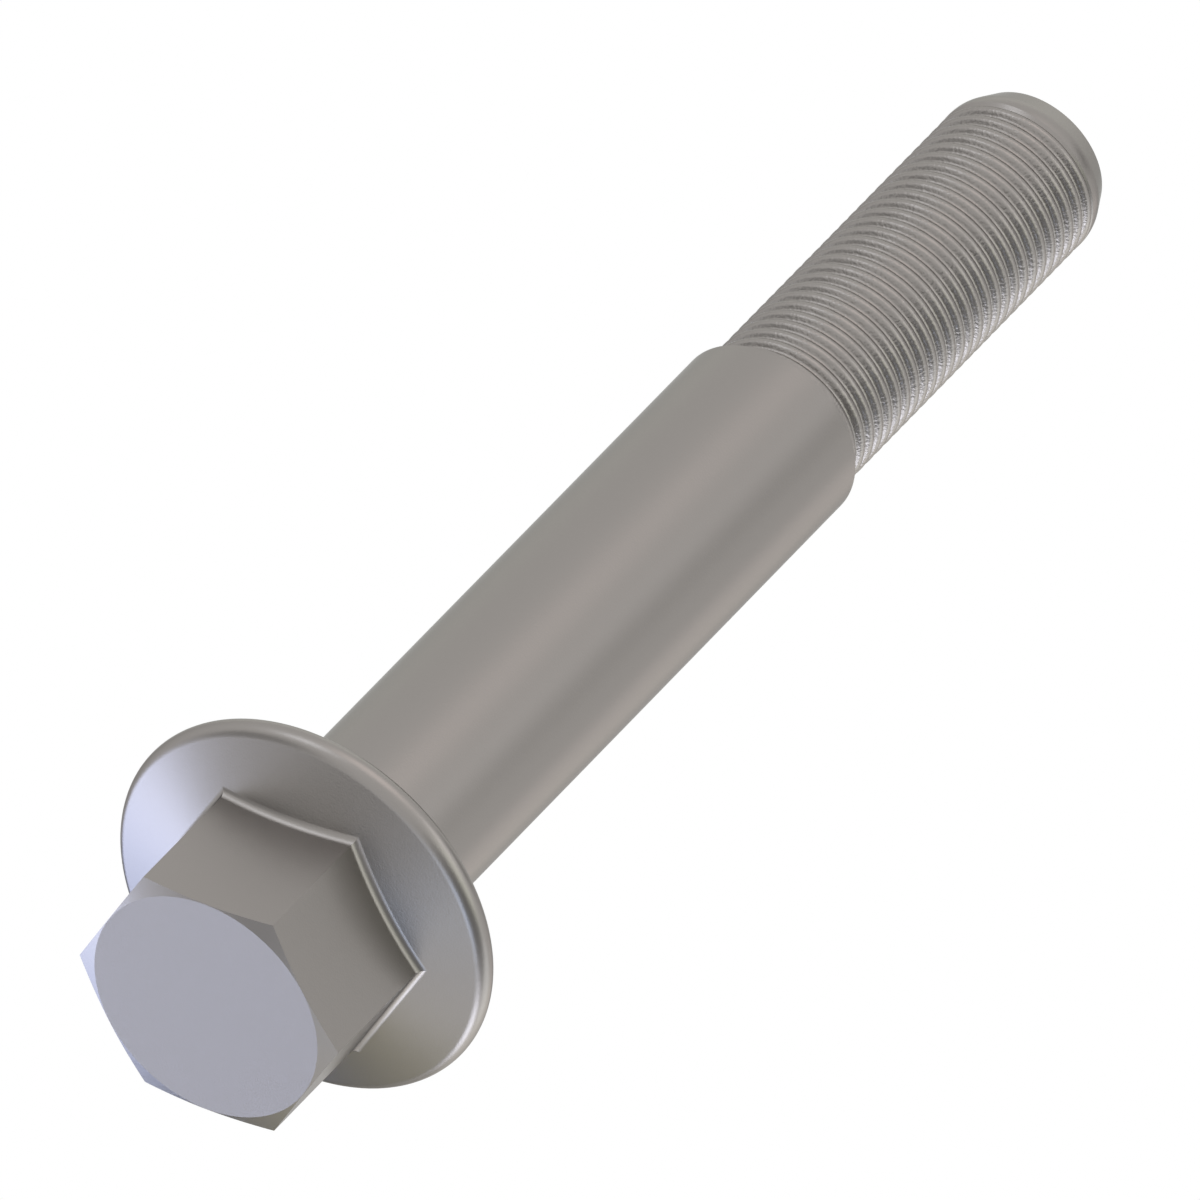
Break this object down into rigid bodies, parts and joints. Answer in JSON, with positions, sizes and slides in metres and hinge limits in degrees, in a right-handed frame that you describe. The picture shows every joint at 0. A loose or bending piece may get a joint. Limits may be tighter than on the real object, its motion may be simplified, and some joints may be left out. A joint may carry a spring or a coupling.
{
  "type": "flanged cap screw",
  "caption": "Steel cap screw with a hexagon head, a wide round conical flange, a thick plain shank and a thinner fine-threaded end with a chamfered tip.",
  "frame": {"origin": "centre of the head's flat end face, which the screw stands on", "axes": "+Z along the axis, from the head towards the threaded tip; +X through a corner of the hexagon"},
  "size_m": [0.0362, 0.0362, 0.1352],
  "materials": {
    "steel": "satin, bare machined steel"
  },
  "bodies": {
    "root": {"cap_screw": "steel"}
  },
  "joints": []
}
